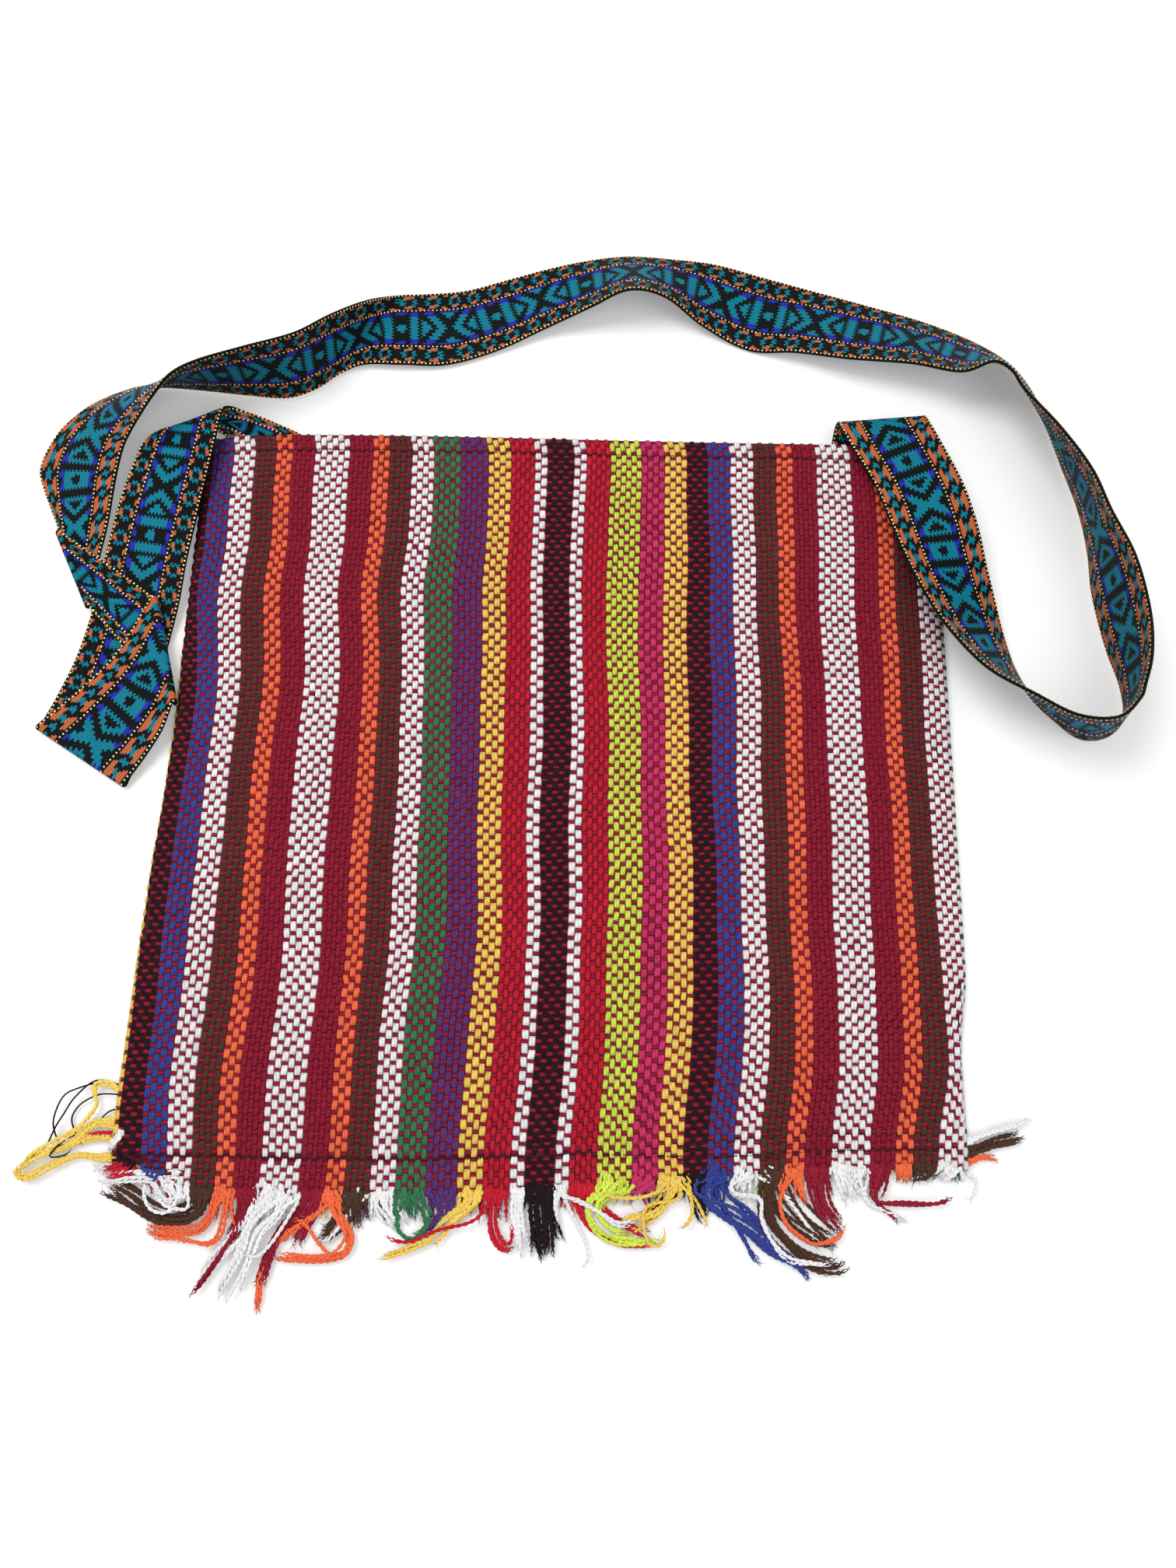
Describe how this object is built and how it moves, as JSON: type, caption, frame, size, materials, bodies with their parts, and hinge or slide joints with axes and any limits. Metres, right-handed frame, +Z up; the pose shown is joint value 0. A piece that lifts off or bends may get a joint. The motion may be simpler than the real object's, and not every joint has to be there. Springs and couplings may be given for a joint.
{
  "type": "woven striped shoulder bag",
  "caption": "Flat handwoven cotton shoulder bag with lengthwise warp stripes, an open hemmed mouth, a yarn fringe and a long patterned ribbon strap, lying on its back.",
  "frame": {"origin": "on the underside of the back panel, at the middle of the bag", "axes": "+X to the bag's right, +Y towards the mouth, +Z up out of the front panel"},
  "size_m": [0.4218, 0.4152, 0.0361],
  "materials": {
    "black_yarn": "matte",
    "blue_yarn": "matte",
    "white_yarn": "matte",
    "brown_yarn": "matte",
    "orange_yarn": "matte",
    "maroon_yarn": "matte",
    "green_yarn": "matte",
    "purple_yarn": "matte",
    "yellow_yarn": "matte",
    "red_yarn": "matte",
    "lime_yarn": "matte",
    "pink_yarn": "matte",
    "teal_ribbon": "satin",
    "thread": "matte"
  },
  "bodies": {
    "root": {"bag_body": "maroon_yarn", "strap": "teal_ribbon", "fringe_01_black": "black_yarn", "fringe_02_blue": "blue_yarn", "fringe_03_white": "white_yarn", "fringe_04_brown": "brown_yarn", "fringe_05_orange": "orange_yarn", "fringe_06_maroon": "maroon_yarn", "fringe_07_white": "white_yarn", "fringe_08_maroon": "maroon_yarn", "fringe_09_orange": "orange_yarn", "fringe_10_brown": "brown_yarn", "fringe_11_white": "white_yarn", "fringe_12_green": "green_yarn", "fringe_13_purple": "purple_yarn", "fringe_14_yellow": "yellow_yarn", "fringe_15_red": "red_yarn", "fringe_16_white": "white_yarn", "fringe_17_black": "black_yarn", "fringe_18_white": "white_yarn", "fringe_19_red": "red_yarn", "fringe_20_lime": "lime_yarn", "fringe_21_pink": "pink_yarn", "fringe_22_yellow": "yellow_yarn", "fringe_23_black": "black_yarn", "fringe_24_blue": "blue_yarn", "fringe_25_white": "white_yarn", "fringe_26_brown": "brown_yarn", "fringe_27_orange": "orange_yarn", "fringe_28_maroon": "maroon_yarn", "fringe_29_white": "white_yarn", "fringe_30_maroon": "maroon_yarn", "fringe_31_orange": "orange_yarn", "fringe_32_brown": "brown_yarn", "fringe_33_white": "white_yarn", "fringe_left_side": "yellow_yarn", "fringe_right_side": "brown_yarn", "hem_stitching": "thread", "bottom_stitching": "thread", "strap_tack_left": "thread", "strap_tack_right": "thread"}
  },
  "joints": []
}
